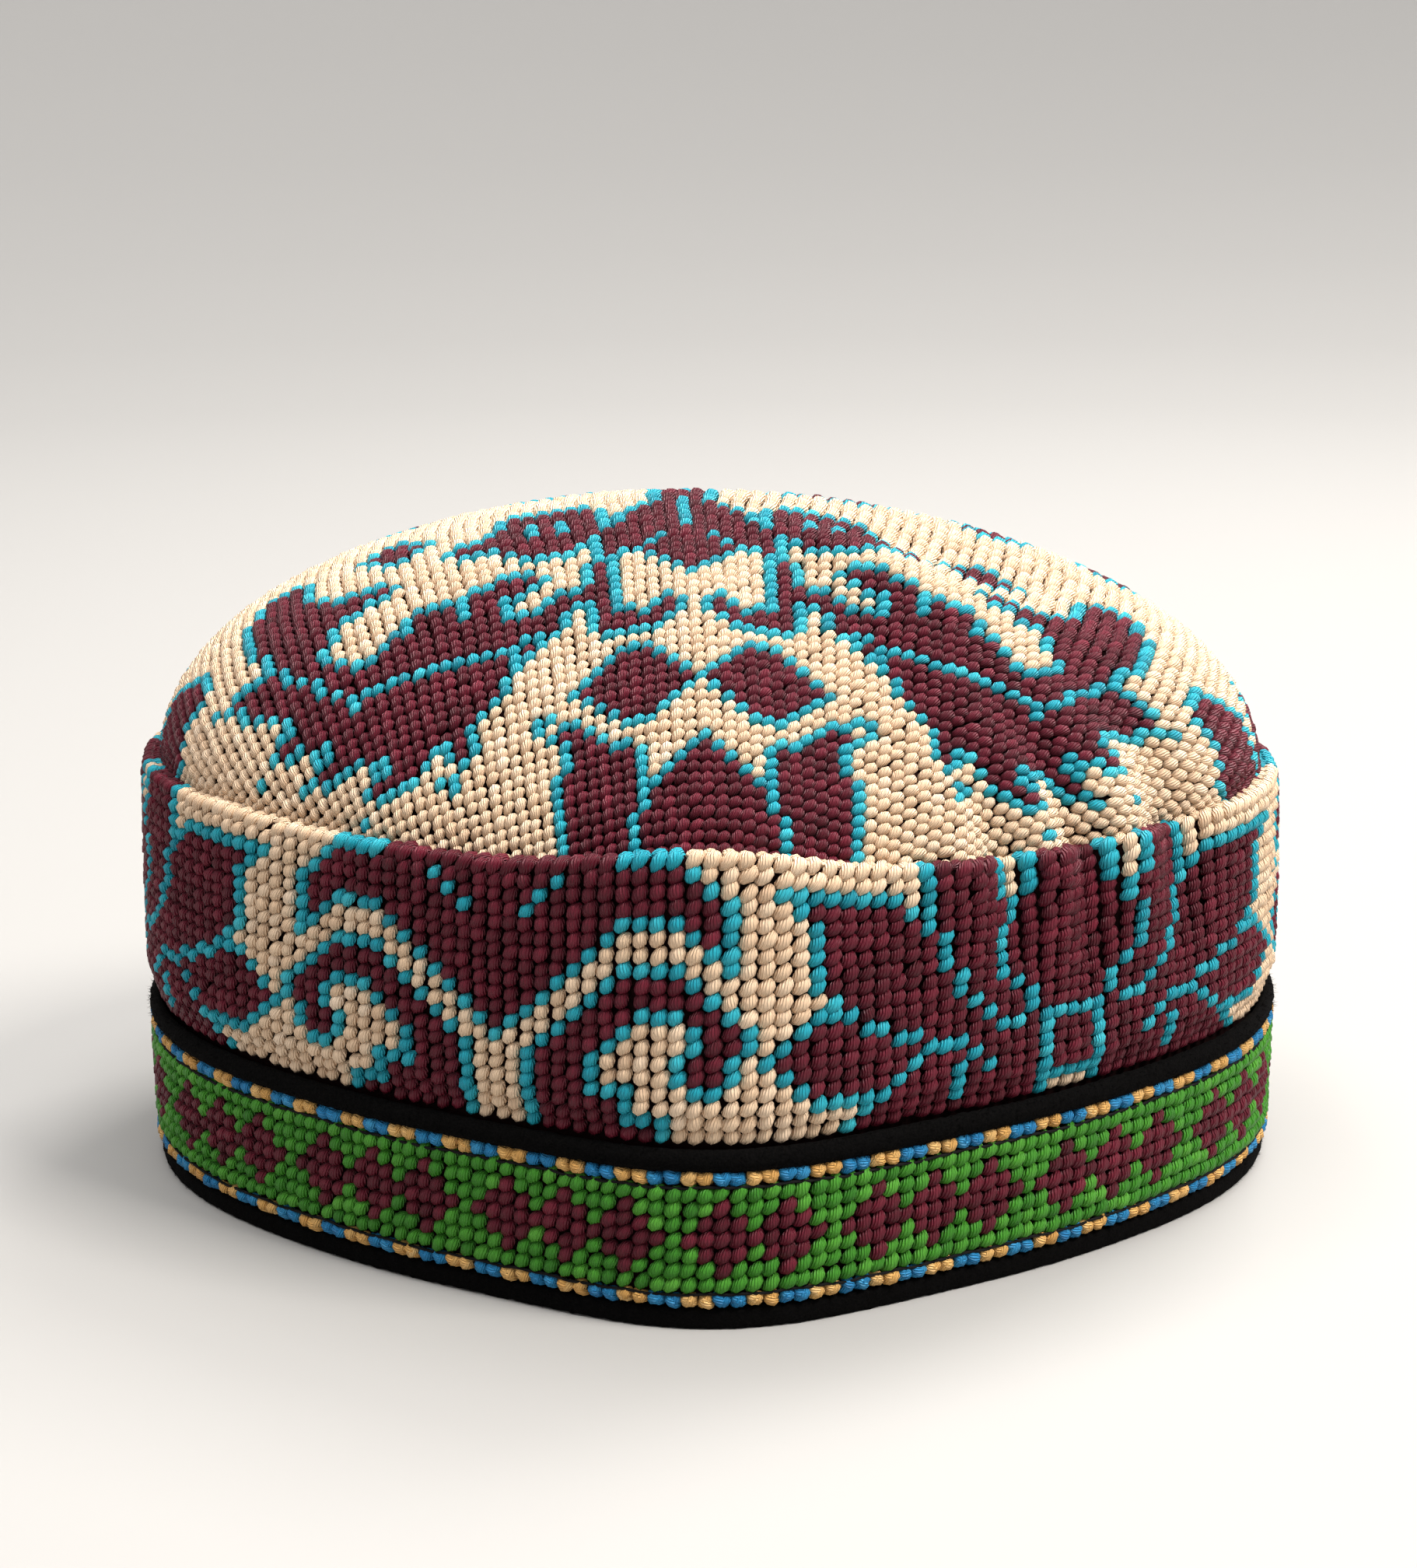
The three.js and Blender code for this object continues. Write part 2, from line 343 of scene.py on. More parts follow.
def crown_chart():
    """A letter for each stitch of a quarter, by column and row."""
    size = int(CROWN_STITCHES) + 1
    burgundy = np.zeros((size, size), bool)
    for row, runs in CROWN_RUNS.items():
        for first, last in runs:
            burgundy[first : last + 1, row] = True
    whole = np.concatenate([burgundy[:0:-1], burgundy], axis=0)
    whole = np.concatenate([whole[:, :0:-1], whole], axis=1)
    padded = np.pad(whole, 1)
    beside = padded[2:, 1:-1] | padded[:-2, 1:-1] | padded[1:-1, 2:] | padded[1:-1, :-2]
    chart = np.where(whole, "b", np.where(beside, "t", "i"))
    quarter = chart[size - 1 :, size - 1 :]
    for column, row in CROWN_TIPS:
        quarter[column, row] = "t"
    return quarter


# The trim band: three overlapping diamonds in each repeat, with one flower of two at the front.
BAND_FLOWER = (
    "gggggggggggggg",
    "ggbgggbgggbggg",
    "gbbbgbbbgbbbgg",
    "bbbbbbbbbbbbbg",
    "gbbbgbbbgbbbgg",
    "ggbgggbgggbggg",
    "gggggggggggggg",
)
BAND_REPEATS = 15
FRONT_FLOWER_COLUMNS = 10
FRONT_FLOWER_START = -2
BAND_FIELD_BOTTOM = 6.15
BAND_FIELD_TOP = 23.95
EDGE_ROWS = (4.85, 25.25)
BAND_EDGES = "yynn"


def band_row(row):
    letters = BAND_FLOWER[row]
    front = letters[: FRONT_FLOWER_COLUMNS - 1] + "g"
    return front + letters * BAND_REPEATS


# Procedural cloth and thread.
def linear(r, g, b):
    values = []
    for v in (r, g, b):
        v /= 255
        values.append(v / 12.92 if v <= 0.04045 else ((v + 0.055) / 1.055) ** 2.4)
    return (*values, 1.0)


def material(name, roughness, sheen, specular):
    made = bpy.data.materials.new(name)
    made.use_nodes = True
    shader = made.node_tree.nodes["Principled BSDF"]
    shader.inputs["Roughness"].default_value = roughness
    shader.inputs["Sheen Weight"].default_value = sheen
    shader.inputs["Sheen Roughness"].default_value = 0.4
    shader.inputs["Specular IOR Level"].default_value = specular
    return made, made.node_tree, shader


def thread(name, dark, plain, light):
    """Stitching thread: a tone for each stitch, and fine strands twisted along it."""
    made, tree, shader = material(name, 0.5, 0.0, 0.3)
    tone = tree.nodes.new("ShaderNodeAttribute")
    tone.attribute_name = "tone"
    ramp = tree.nodes.new("ShaderNodeValToRGB")
    ramp.color_ramp.elements[0].color = linear(*dark)
    ramp.color_ramp.elements[1].color = linear(*light)
    ramp.color_ramp.elements.new(0.5).color = linear(*plain)
    tree.links.new(tone.outputs["Fac"], ramp.inputs["Fac"])
    tree.links.new(ramp.outputs["Color"], shader.inputs["Base Color"])
    place = tree.nodes.new("ShaderNodeUVMap")
    place.uv_map = "strands"
    wave = tree.nodes.new("ShaderNodeTexWave")
    wave.bands_direction = "DIAGONAL"
    wave.inputs["Scale"].default_value = 1.2
    wave.inputs["Distortion"].default_value = 1.2
    wave.inputs["Detail"].default_value = 1.0
    bump = tree.nodes.new("ShaderNodeBump")
    bump.inputs["Strength"].default_value = 0.9
    bump.inputs["Distance"].default_value = 0.0003
    tree.links.new(place.outputs["UV"], wave.inputs["Vector"])
    tree.links.new(wave.outputs["Fac"], bump.inputs["Height"])
    tree.links.new(bump.outputs["Normal"], shader.inputs["Normal"])
    return made


def cloth(name, dark, light, scale, roughness, sheen, bump_distance):
    """Plain woven or piled cloth with a fine grain."""
    made, tree, shader = material(name, roughness, sheen, 0.05)
    place = tree.nodes.new("ShaderNodeTexCoord")
    noise = tree.nodes.new("ShaderNodeTexNoise")
    noise.inputs["Scale"].default_value = scale
    noise.inputs["Detail"].default_value = 4.0
    ramp = tree.nodes.new("ShaderNodeValToRGB")
    ramp.color_ramp.elements[0].color = linear(*dark)
    ramp.color_ramp.elements[0].position = 0.3
    ramp.color_ramp.elements[1].color = linear(*light)
    ramp.color_ramp.elements[1].position = 0.7
    bump = tree.nodes.new("ShaderNodeBump")
    bump.inputs["Strength"].default_value = 0.6
    bump.inputs["Distance"].default_value = bump_distance
    tree.links.new(place.outputs["Object"], noise.inputs["Vector"])
    tree.links.new(noise.outputs["Fac"], ramp.inputs["Fac"])
    tree.links.new(ramp.outputs["Color"], shader.inputs["Base Color"])
    tree.links.new(noise.outputs["Fac"], bump.inputs["Height"])
    tree.links.new(bump.outputs["Normal"], shader.inputs["Normal"])
    return made


THREADS = {
    "i": ("ivory", thread("ivory_thread", (212, 178, 146), (230, 200, 168), (240, 216, 190))),
    "b": ("burgundy", thread("burgundy_thread", (66, 9, 22), (88, 15, 33), (116, 30, 49))),
    "t": ("turquoise", thread("turquoise_thread", (14, 124, 144), (26, 156, 176), (62, 188, 204))),
    "g": ("green", thread("green_thread", (40, 104, 24), (60, 134, 35), (92, 166, 56))),
    "y": ("ochre", thread("ochre_thread", (196, 142, 72), (216, 166, 94), (230, 190, 128))),
    "n": ("blue", thread("blue_thread", (18, 100, 156), (30, 124, 178), (62, 152, 198))),
}
# The ground cloth is painted near black. This is painted shade for the gaps between stitches, where the
# cloth lies in shadow.
ground_cloth_painted_shade = cloth("ground_cloth_painted_shade", (18, 8, 9), (34, 16, 16), 1800, 0.95, 0.0, 0.0001)
backing_cotton = cloth("backing_cotton", (176, 160, 138), (204, 190, 166), 1500, 0.9, 0.1, 0.0001)
black_pile = cloth("black_pile", (3, 3, 3), (10, 9, 9), 2600, 1.0, 0.0, 0.0003)
black_thread, _, thread_shader = material("black_thread", 0.9, 0.0, 0.25)
thread_shader.inputs["Base Color"].default_value = linear(5, 4, 5)


def mesh_object(name, vertices, faces, materials, smooth=True):
    """A piece from an array of points in millimetres and a list or array of faces."""
    mesh = bpy.data.meshes.new(name)
    mesh.from_pydata((vertices * MM).tolist(), [], [list(f) for f in faces])
    for made in materials:
        mesh.materials.append(made)
    mesh.polygons.foreach_set("use_smooth", np.full(len(mesh.polygons), smooth))
    mesh.update()
    made = bpy.data.objects.new(name, mesh)
    bpy.context.scene.collection.objects.link(made)
    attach(made, "root")
    return made


# One stitch: rings along it, pointed at both ends and lifted in the middle.
STITCH_RINGS = np.array([-1.0, -0.68, 0.0, 0.68, 1.0])
STITCH_GIRTH = np.array([0.24, 0.76, 1.0, 0.84, 0.30])
STITCH_SIDES = 6
STITCH_LIFT = 0.65
STITCH_TILT = 0.22
STRAND_TURNS = 6

# A stitch's size as shares of its cell, and how far stitches differ in lean, place, size and tone.
LENGTH_SHARE = 0.70
WIDTH_SHARE = 0.47
HEIGHT_SHARE = 0.95
LEAN_SPREAD = 0.09
PLACE_SPREAD = 0.05
SIZE_RANGE = (0.92, 1.08)
LENGTH_RANGE = (0.92, 1.10)
TONE_SPREAD = 0.15


def stitches(name, centre, along, across, normal, half_length, width, height, made):
    """Many slanted stitches as one mesh, from arrays with a row for each stitch."""
    count = len(centre)
    rings = len(STITCH_RINGS)
    turn = np.arange(STITCH_SIDES) / STITCH_SIDES * 2 * np.pi
    t = STITCH_RINGS[None, :, None, None]
    girth = STITCH_GIRTH[None, :, None, None]
    middle = centre[:, None, None, :] + along[:, None, None, :] * t * half_length[:, None, None, None]
    middle = middle + normal[:, None, None, :] * (STITCH_LIFT * (1 - t * t) + STITCH_TILT * t)
    sideways = across[:, None, None, :] * np.cos(turn)[None, None, :, None] * width[:, None, None, None]
    upwards = normal[:, None, None, :] * np.sin(turn)[None, None, :, None] * height[:, None, None, None]
    points = (middle + girth * (sideways + upwards)).reshape(-1, 3)
    each = rings * STITCH_SIDES
    quads = []
    corners = []
    for ring in range(rings - 1):
        for side in range(STITCH_SIDES):
            other = (side + 1) % STITCH_SIDES
            quads.append([
                ring * STITCH_SIDES + side,
                ring * STITCH_SIDES + other,
                (ring + 1) * STITCH_SIDES + other,
                (ring + 1) * STITCH_SIDES + side,
            ])
            low, high = STITCH_RINGS[ring], STITCH_RINGS[ring + 1]
            u0 = side / STITCH_SIDES * STRAND_TURNS
            u1 = (side + 1) / STITCH_SIDES * STRAND_TURNS
            corners += [(u0, low), (u1, low), (u1, high), (u0, high)]
    quads = np.array(quads)
    caps = np.array([
        list(range(STITCH_SIDES - 1, -1, -1)),
        list(range((rings - 1) * STITCH_SIDES, rings * STITCH_SIDES)),
    ])
    start = (np.arange(count) * each)[:, None, None]
    loops_each = quads.size + caps.size
    loops = np.concatenate(
        [(quads[None] + start).reshape(count, -1), (caps[None] + start).reshape(count, -1)], axis=1
    )
    sizes_each = np.array([4] * len(quads) + [STITCH_SIDES] * len(caps))
    starts_each = np.concatenate([[0], np.cumsum(sizes_each)[:-1]])
    mesh = bpy.data.meshes.new(name)
    mesh.vertices.add(len(points))
    mesh.vertices.foreach_set("co", (points * MM).astype(np.float32).ravel())
    mesh.loops.add(loops.size)
    mesh.loops.foreach_set("vertex_index", loops.astype(np.int32).ravel())
    mesh.polygons.add(count * len(sizes_each))
    loop_starts = (np.arange(count)[:, None] * loops_each + starts_each[None]).ravel()
    mesh.polygons.foreach_set("loop_start", loop_starts.astype(np.int32))
    mesh.polygons.foreach_set("use_smooth", np.ones(count * len(sizes_each), bool))
    mesh.update(calc_edges=True)
    uv = mesh.uv_layers.new(name="strands")
    cap_uv = [(0.0, -1.0)] * STITCH_SIDES + [(0.0, 1.0)] * STITCH_SIDES
    uv_each = np.array(corners + cap_uv, np.float32)
    shift = rng.uniform(0, 4, (count, 1, 1)).astype(np.float32)
    uv.data.foreach_set("uv", (uv_each[None] + shift).ravel())
    tone = mesh.attributes.new("tone", "FLOAT", "POINT")
    tones = np.clip(rng.normal(0.5, TONE_SPREAD, count), 0, 1)
    tone.data.foreach_set("value", np.repeat(tones, each).astype(np.float32))
    mesh.materials.append(made)
    mesh.validate()
    piece = bpy.data.objects.new(name, mesh)
    bpy.context.scene.collection.objects.link(piece)
    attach(piece, "root")
    return piece


def sew(area, letters, point, right, up, pitch_right, pitch_up, slant, sink):
    """Stitches of one area, a mesh for each thread colour."""
    count = len(point)
    normal = unit(np.cross(right, up))
    lean = np.radians(slant) + rng.normal(0, LEAN_SPREAD, count)
    reach = right * (pitch_right * np.cos(lean))[:, None] + up * (pitch_up * np.sin(lean))[:, None]
    along = unit(reach)
    across = unit(np.cross(normal, along))
    half_length = LENGTH_SHARE * np.linalg.norm(reach, axis=1) * rng.uniform(*LENGTH_RANGE, count)
    width = WIDTH_SHARE * np.sqrt(pitch_right * pitch_up) * rng.uniform(*SIZE_RANGE, count)
    height = HEIGHT_SHARE * width * rng.uniform(*SIZE_RANGE, count)
    jitter = rng.normal(0, PLACE_SPREAD, (count, 2)) * pitch_right[:, None]
    centre = point + right * jitter[:, :1] + up * jitter[:, 1:]
    centre = centre - normal * (sink + rng.normal(0, PLACE_SPREAD, count))[:, None]
    for letter in sorted(set(letters)):
        m = letters == letter
        colour, made = THREADS[letter]
        piece = stitches(
            f"{area}_{colour}_stitches", centre[m], along[m], across[m], normal[m],
            half_length[m], width[m], height[m], made,
        )


# The crown's stitches, with their slant in degrees and how deep they sit in the cloth.
CROWN_SLANT = 50
CROWN_SINK = 0.45
CROWN_PITCHES = (1.6, 3.2)
EDGE_MARGIN = 0.4
chart = crown_chart()
reach = int(CROWN_STITCHES)
columns, rows = np.meshgrid(np.arange(-reach, reach + 1), np.arange(-reach, reach + 1), indexing="ij")
inside = np.hypot(columns, rows) <= CROWN_STITCHES - EDGE_MARGIN
columns, rows = columns[inside], rows[inside]
letters = chart[np.abs(columns), np.abs(rows)]
step = 0.3
points = crown_face(columns, rows)
to_right = crown_face(columns + step, rows) - crown_face(columns - step, rows)
to_back = crown_face(columns, rows - step) - crown_face(columns, rows + step)
pitch_right = np.clip(np.linalg.norm(to_right, axis=1) / (2 * step), *CROWN_PITCHES)
pitch_back = np.clip(np.linalg.norm(to_back, axis=1) / (2 * step), *CROWN_PITCHES)
to_right = unit(to_right)
crown_normal = unit(np.cross(to_right, to_back))
to_back = unit(np.cross(crown_normal, to_right))
for part, m in (("crown_front", rows >= 0), ("crown_back", rows < 0)):
    sew(
        part, letters[m], points[m], to_right[m], to_back[m],
        pitch_right[m], pitch_back[m], CROWN_SLANT, CROWN_SINK,
    )

# The wall's stitches, over the rim and into the groove.
WALL_SLANT = 57
WALL_SINK = 0.4
RUN_STEP = 0.4
ROW_STEP = 0.2
wall_pitch = ROUND / WALL_COLUMNS
wall_letters = [wall_row(min(row, WALL_ROWS - 1)) for row in range(WALL_ROWS + ROWS_IN_GROOVE)]
run_index, row_index = np.meshgrid(
    np.arange(WALL_COLUMNS), np.arange(WALL_ROWS + ROWS_IN_GROOVE), indexing="ij"
)
run_index, row_index = run_index.ravel(), row_index.ravel()
letters = np.array(wall_letters)[row_index, run_index]
runs = (run_index - WALL_COLUMNS / 2) * wall_pitch
heights = row_index + 0.5
points = wall_face(runs, heights)
to_right = wall_face(runs + RUN_STEP, heights) - wall_face(runs - RUN_STEP, heights)
to_top = wall_face(runs, heights + ROW_STEP) - wall_face(runs, heights - ROW_STEP)
pitch_right = np.clip(np.linalg.norm(to_right, axis=1) / (2 * RUN_STEP) * wall_pitch, 2.0, 3.8)
pitch_top = np.clip(np.linalg.norm(to_top, axis=1) / (2 * ROW_STEP), 1.6, 3.0)
to_right = unit(to_right)
wall_normal = unit(np.cross(to_right, to_top))
to_top = unit(np.cross(wall_normal, to_right))
sew(
    "wall", letters, points, to_right, to_top,
    pitch_right, pitch_top, WALL_SLANT, WALL_SINK,
)

# The band's stitches and its two edge rows of ochre and blue, which are crossed.
BAND_SLANT = 50.0
BAND_SINK = 0.4
EDGE_PITCH = 1.9
band_pitch = ROUND / BAND_COLUMNS
field_rows = len(BAND_FLOWER)
band_step = (BAND_FIELD_TOP - BAND_FIELD_BOTTOM) / field_rows
band_letters = [list(band_row(row)) for row in range(field_rows)]
edge = list(BAND_EDGES * (BAND_COLUMNS // len(BAND_EDGES)))
band_letters += [edge, edge]
band_heights = [BAND_FIELD_BOTTOM + (row + 0.5) * band_step for row in range(field_rows)]
band_heights += EDGE_ROWS
column_index, row_index = np.meshgrid(np.arange(BAND_COLUMNS), np.arange(field_rows + 2), indexing="ij")
column_index, row_index = column_index.ravel(), row_index.ravel()
letters = np.array(band_letters)[row_index, column_index]
runs = (column_index + FRONT_FLOWER_START + 0.5) * band_pitch
heights = np.array(band_heights)[row_index]
points = band_face(runs, heights)
to_right = unit(band_face(runs + RUN_STEP, heights) - band_face(runs - RUN_STEP, heights))
to_top = np.tile([0.0, 0.0, 1.0], (len(points), 1))
pitch_right = np.full(len(points), band_pitch)
on_edge = row_index >= field_rows
pitch_top = np.where(on_edge, EDGE_PITCH, band_step)
again = np.concatenate([np.arange(len(points)), np.flatnonzero(on_edge)])
slants = np.full(len(again), BAND_SLANT)
slants[len(points) :] = 180.0 - BAND_SLANT
sew(
    "band", letters[again], points[again], to_right[again], to_top[again],
    pitch_right[again], pitch_top[again], slants, BAND_SINK,
)


def ring_mesh(name, sections, materials, inner_from=None):
    """A closed ring from sections of equal size, a loop of points at each station."""
    stations, size = sections.shape[:2]
    here = np.arange(stations)[:, None] * size
    nxt = ((np.arange(stations) + 1) % stations)[:, None] * size
    j = np.arange(size)[None]
    k = (j + 1) % size
    faces = np.stack([here + j, nxt + j, nxt + k, here + k], -1).reshape(-1, 4)
    made = mesh_object(name, sections.reshape(-1, 3), faces, materials)
    if inner_from is not None:
        index = np.tile((np.arange(size) >= inner_from).astype(np.int32), stations)
        made.data.polygons.foreach_set("material_index", index)
    return made


STATIONS = 600
around = np.arange(STATIONS) / STATIONS * 2 * np.pi

# The ground cloth that the stitches are worked on, darkened with painted shade where it shows in the gaps
# between stitches, with a plain cotton back.
GROUND_DEPTH = 0.95
GROUND_FOOT = 1.9
levels = np.linspace(0, 1, 12)
ground_roll = (WALL_THICKNESS - GROUND_DEPTH) / 2
ground_shoulder = rim_height(around) - ROLL
z_levels = GROUND_FOOT + (ground_shoulder[:, None] - GROUND_FOOT) * levels[None]
outer_inset = wall_inset(around[:, None], z_levels) + GROUND_DEPTH
outer = ring_point(around[:, None], outer_inset, z_levels)
inner = ring_point(around[:, None], outer_inset - GROUND_DEPTH + WALL_THICKNESS, z_levels)[:, ::-1]
roll_turn = np.linspace(0, np.pi, 7)[1:-1]
roll_middle = wall_inset(around, ground_shoulder)[:, None] + GROUND_DEPTH + ground_roll
over = ring_point(
    around[:, None],
    roll_middle - ground_roll * np.cos(roll_turn)[None],
    ground_shoulder[:, None] + ground_roll * np.sin(roll_turn)[None],
)
wall_ground = ring_mesh(
    "wall_ground",
    np.concatenate([outer, over, inner], axis=1),
    [ground_cloth_painted_shade, backing_cotton],
    outer.shape[1] + over.shape[1],
)
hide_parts("side_wall")

CROWN_RINGS = 40
CROWN_TURNS = 240
crown_shares = np.sin(np.linspace(0, np.pi / 2, CROWN_RINGS + 1))[1:]
crown_turns = np.arange(CROWN_TURNS) / CROWN_TURNS * 2 * np.pi
turn_grid, share_grid = np.meshgrid(crown_turns, crown_shares, indexing="ij")
dome = crown_point(turn_grid, share_grid)
small = 1e-3
beyond = np.minimum(share_grid + small, 1 - small)
outward = crown_point(turn_grid, beyond) - crown_point(turn_grid, beyond - 2 * small)
sideways = crown_point(turn_grid + small, share_grid) - crown_point(turn_grid - small, share_grid)
dome_normal = unit(np.cross(outward, sideways))
upper = dome - dome_normal * GROUND_DEPTH
under = dome - dome_normal * CROWN_THICKNESS
apex_upper = np.array([APEX[0], APEX[1], APEX[2] - GROUND_DEPTH])
apex_under = np.array([APEX[0], APEX[1], APEX[2] - CROWN_THICKNESS])
turns_count, ring_count = turn_grid.shape
crown_points = np.concatenate(
    [upper.reshape(-1, 3), under.reshape(-1, 3), apex_upper[None], apex_under[None]]
)
half = turns_count * ring_count
crown_faces = []
face_material = []
for i in range(turns_count):
    a = i * ring_count
    b = (i + 1) % turns_count * ring_count
    crown_faces.append((2 * half, a, b))
    face_material.append(0)
    crown_faces.append((2 * half + 1, half + b, half + a))
    face_material.append(1)
    for j in range(ring_count - 1):
        crown_faces.append((a + j, a + j + 1, b + j + 1, b + j))
        face_material.append(0)
        crown_faces.append((half + a + j, half + b + j, half + b + j + 1, half + a + j + 1))
        face_material.append(1)
    last = ring_count - 1
    crown_faces.append((a + last, half + a + last, half + b + last, b + last))
    face_material.append(0)
crown_ground = mesh_object("crown_ground", crown_points, crown_faces, [ground_cloth_painted_shade, backing_cotton])
crown_ground.data.polygons.foreach_set("material_index", np.array(face_material, np.int32))
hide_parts("crown")


def rounded(corners, radius, steps=3):
    """A loop of inset and height pairs with its corners rounded off."""
    corners = np.array(corners, float)
    loop = []
    for k in range(len(corners)):
        back = corners[k - 1] - corners[k]
        ahead = corners[(k + 1) % len(corners)] - corners[k]
        cut = min(radius, np.linalg.norm(back) * 0.45, np.linalg.norm(ahead) * 0.45)
        start = corners[k] + back / np.linalg.norm(back) * cut
        end = corners[k] + ahead / np.linalg.norm(ahead) * cut
        for s in np.linspace(0, 1, steps):
            loop.append((1 - s) ** 2 * start + 2 * s * (1 - s) * corners[k] + s ** 2 * end)
    return np.array(loop)


def swept(name, loop, materials, ripple=0.0):
    """A loop of inset and height pairs carried round the plan, with a fine uneven pile."""
    inset = np.repeat(loop[None, :, 0], STATIONS, axis=0)
    z = np.repeat(loop[None, :, 1], STATIONS, axis=0)
    if ripple:
        inset = inset + rng.normal(0, ripple, inset.shape)
        z = np.maximum(z + rng.normal(0, ripple, z.shape), 0.0)
    return ring_mesh(name, ring_point(around[:, None], inset, z), materials)


# The band's ground, the piping and the binding, as loops of inset and height pairs.
BAND_CORNERS = ((0.75, 3.7), (0.75, 26.1), (1.4, 26.1), (1.4, 3.7))
BINDING_CORNERS = (
    (-0.35, 0.0), (-0.35, 3.45), (1.4, 3.45), (1.4, 1.5), (4.5, 1.5), (4.5, 5.0), (5.9, 5.0), (5.9, 0.0),
)
PIPING_CENTRE = (0.1, 28.2)
PIPING_HALF = (1.25, 1.85)
PIPING_SIDES = 14
PIPING_RIPPLE = 0.07
BINDING_RIPPLE = 0.06
band_ground = swept("band_ground", rounded(BAND_CORNERS, 0.3), [ground_cloth_painted_shade])
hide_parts("trim_band")

oval = np.arange(PIPING_SIDES) / PIPING_SIDES * 2 * np.pi
piping_loop = np.stack(
    [PIPING_CENTRE[0] - PIPING_HALF[0] * np.cos(oval), PIPING_CENTRE[1] + PIPING_HALF[1] * np.sin(oval)], -1
)
piping = swept("piping_cord_pile", piping_loop, [black_pile], PIPING_RIPPLE)
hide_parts("piping")

binding = swept("binding_fold", rounded(BINDING_CORNERS, 0.8, 4), [black_pile], BINDING_RIPPLE)
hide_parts("bottom_binding")


FIBRE_RADIUS = 0.05
FIBRE_ROOT = 0.1
FLOOR_CLEARANCE = 0.02


def fibres(name, loop, count, reach):
    """Short stray fibres standing off a piled edge, each a thin pointed spike."""
    angle = rng.uniform(0, 2 * np.pi, count)
    pick = rng.integers(0, len(loop), count)
    root = ring_point(angle, loop[pick, 0], loop[pick, 1])
    outward = unit(ring_point(angle, loop[pick, 0] - 1.0, loop[pick, 1]) - root)
    lean = rng.normal(0, 1.0, (count, 3))
    aim = unit(outward + lean)
    aim = aim + outward * np.clip(0.2 - (aim * outward).sum(1, keepdims=True), 0, None)
    side = unit(np.cross(aim, rng.normal(0, 1, (count, 3))))
    other = unit(np.cross(aim, side))
    base = [
        root - outward * FIBRE_ROOT + FIBRE_RADIUS * (np.cos(turn) * side + np.sin(turn) * other)
        for turn in (0.0, 2.1, 4.2)
    ]
    tip = root + unit(aim) * rng.uniform(0.3, 1.0, (count, 1)) * reach
    tip[:, 2] = np.maximum(tip[:, 2], 0.05)
    points = np.stack(base + [tip], 1)
    points[:, :, 2] = np.maximum(points[:, :, 2], FLOOR_CLEARANCE)
    spike = np.array([(0, 2, 1), (0, 1, 3), (1, 2, 3), (2, 0, 3)])
    faces = (np.arange(count)[:, None, None] * 4 + spike[None]).reshape(-1, 3)
    made = mesh_object(name, points.reshape(-1, 3), faces, [black_pile], smooth=False)


outer_piping = piping_loop[piping_loop[:, 0] < 0.35]
fibres("piping_fibres", outer_piping, 6000, 1.3)
binding_face = np.array([(-0.3, z) for z in np.linspace(0.4, 3.3, 9)])
fibres("binding_fibres", binding_face, 3500, 0.7)


THREAD_PROUD = 0.55
THREAD_RADIUS = 0.24
THREAD_SIDES = 6


def sewing_thread(name, height):
    """A thin thread lying along the band."""
    waves = ((13, 0.12, 0.4), (37, 0.10, 1.9), (83, 0.08, 2.7))
    wander = sum(depth * np.sin(turns * around + phase) for turns, depth, phase in waves)
    turn = np.arange(THREAD_SIDES) / THREAD_SIDES * 2 * np.pi
    inset = -THREAD_PROUD - THREAD_RADIUS * np.cos(turn)[None]
    z = height + wander[:, None] + THREAD_RADIUS * np.sin(turn)[None]
    made = ring_mesh(name, ring_point(around[:, None], inset, z), [black_thread])


sewing_thread("upper_sewing_thread", 23.95)
sewing_thread("lower_sewing_thread", 6.05)

# The floor, swept up all round into a plain backdrop, in metres.
FLOOR_RADIUS = 1.0
SWEEP_RADIUS = 2.2
BACKDROP_TOP = 3.0
FLOOR_TURNS = 96
FLOOR_COLOUR = (0.33, 0.324, 0.316, 1.0)
profile = [(0.0, 0.0), (FLOOR_RADIUS, 0.0)]
for bend in np.linspace(0, np.pi / 2, 17)[1:]:
    profile.append((FLOOR_RADIUS + SWEEP_RADIUS * np.sin(bend), SWEEP_RADIUS * (1 - np.cos(bend))))
profile.append((FLOOR_RADIUS + SWEEP_RADIUS, BACKDROP_TOP))
floor_points = [(0.0, 0.0, 0.0)]
for out, z in profile[1:]:
    for turn in np.arange(FLOOR_TURNS) / FLOOR_TURNS * 2 * np.pi:
        floor_points.append((out * np.cos(turn), out * np.sin(turn), z))
floor_faces = [(0, 1 + k, 1 + (k + 1) % FLOOR_TURNS) for k in range(FLOOR_TURNS)]
for ring in range(len(profile) - 2):
    first = 1 + ring * FLOOR_TURNS
    for k in range(FLOOR_TURNS):
        n = (k + 1) % FLOOR_TURNS
        floor_faces.append((first + k, first + FLOOR_TURNS + k, first + FLOOR_TURNS + n, first + n))
floor_mesh = bpy.data.meshes.new("floor")
floor_mesh.from_pydata(floor_points, [], floor_faces)
floor_mesh.polygons.foreach_set("use_smooth", np.ones(len(floor_faces), bool))
floor = bpy.data.objects.new("floor", floor_mesh)
bpy.context.scene.collection.objects.link(floor)
floor_material, _, floor_shader = material("floor_paint", 0.85, 0.0, 0.25)
floor_shader.inputs["Base Color"].default_value = FLOOR_COLOUR
floor_mesh.materials.append(floor_material)


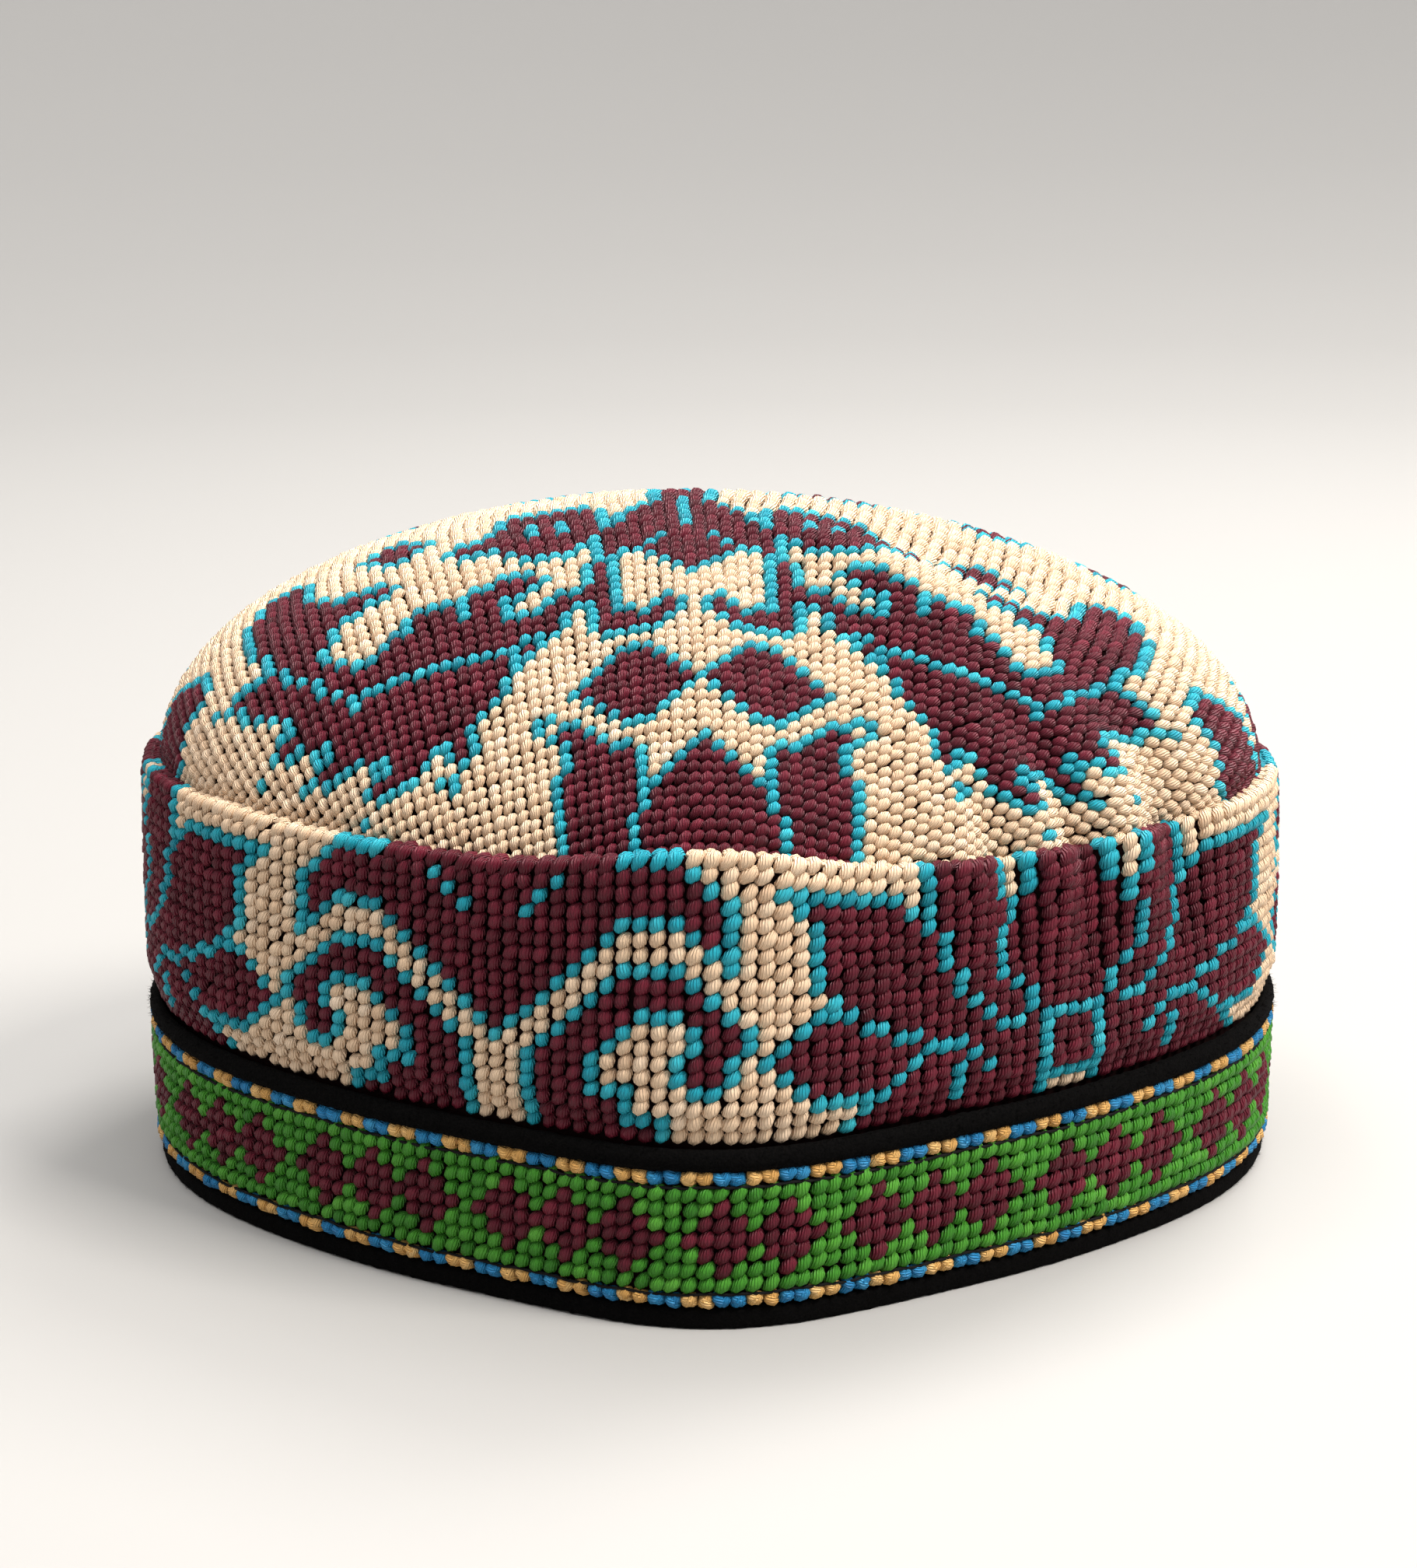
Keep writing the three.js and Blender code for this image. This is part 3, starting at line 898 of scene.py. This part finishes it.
def area_light(name, location, target, size, power, colour):
    data = bpy.data.lights.new(name, "AREA")
    data.size = size
    data.energy = power
    data.color = colour
    light = bpy.data.objects.new(name, data)
    light.location = location
    light.rotation_mode = "QUATERNION"
    light.rotation_quaternion = (Vector(target) - Vector(location)).to_track_quat("-Z", "Y")
    bpy.context.scene.collection.objects.link(light)


# Name, place, what it points at, size in metres, power in watts and colour.
area_light("key", (0.70, -0.38, 1.05), (0, 0, 0.06), 0.4, 20.0, (1.0, 0.95, 0.89))
area_light("top", (0.45, 0.60, 1.15), (0, 0, 0.08), 0.5, 16.0, (1.0, 0.97, 0.93))
area_light("fill", (-1.0, -1.4, 0.7), (0, 0, 0.05), 1.2, 3.0, (0.95, 0.97, 1.0))
for k, turn in enumerate(np.radians([90, 180, 270, 0])):
    aside = np.array([np.cos(turn), np.sin(turn), 0.0])
    area_light(
        f"backdrop_{k}", aside * 0.9 + (0, 0, 2.6), aside * 2.9 + (0, 0, 0.6), 1.6, 50.0, (1.0, 0.98, 0.96)
    )

world = bpy.data.worlds.new("studio")
world.use_nodes = True
world.node_tree.nodes["Background"].inputs["Color"].default_value = (0.92, 0.95, 1.0, 1.0)
world.node_tree.nodes["Background"].inputs["Strength"].default_value = 0.30
bpy.context.scene.world = world

# The camera stands in front of the cap and a little above it, looking down by its pitch.
CAMERA_PLACE = (-0.0004, -0.4839, 0.1977)
PITCH = math.radians(15.35)
TILT = math.radians(0.31)
camera_data = bpy.data.cameras.new("camera")
camera_data.sensor_width = 36.0
camera_data.lens = 64.29
camera_data.clip_start = 0.01
camera_data.clip_end = 50.0
camera = bpy.data.objects.new("camera", camera_data)
ahead = Vector((0, math.cos(PITCH), -math.sin(PITCH)))
upright = Vector((0, math.sin(PITCH), math.cos(PITCH)))
level = Vector((1, 0, 0))
camera_right = level * math.cos(TILT) - upright * math.sin(TILT)
camera_up = level * math.sin(TILT) + upright * math.cos(TILT)
turned = Matrix((camera_right, camera_up, -ahead)).transposed().to_4x4()
camera.matrix_world = Matrix.Translation(CAMERA_PLACE) @ turned
bpy.context.scene.collection.objects.link(camera)
bpy.context.scene.camera = camera

bpy.context.scene.view_settings.view_transform = "Standard"
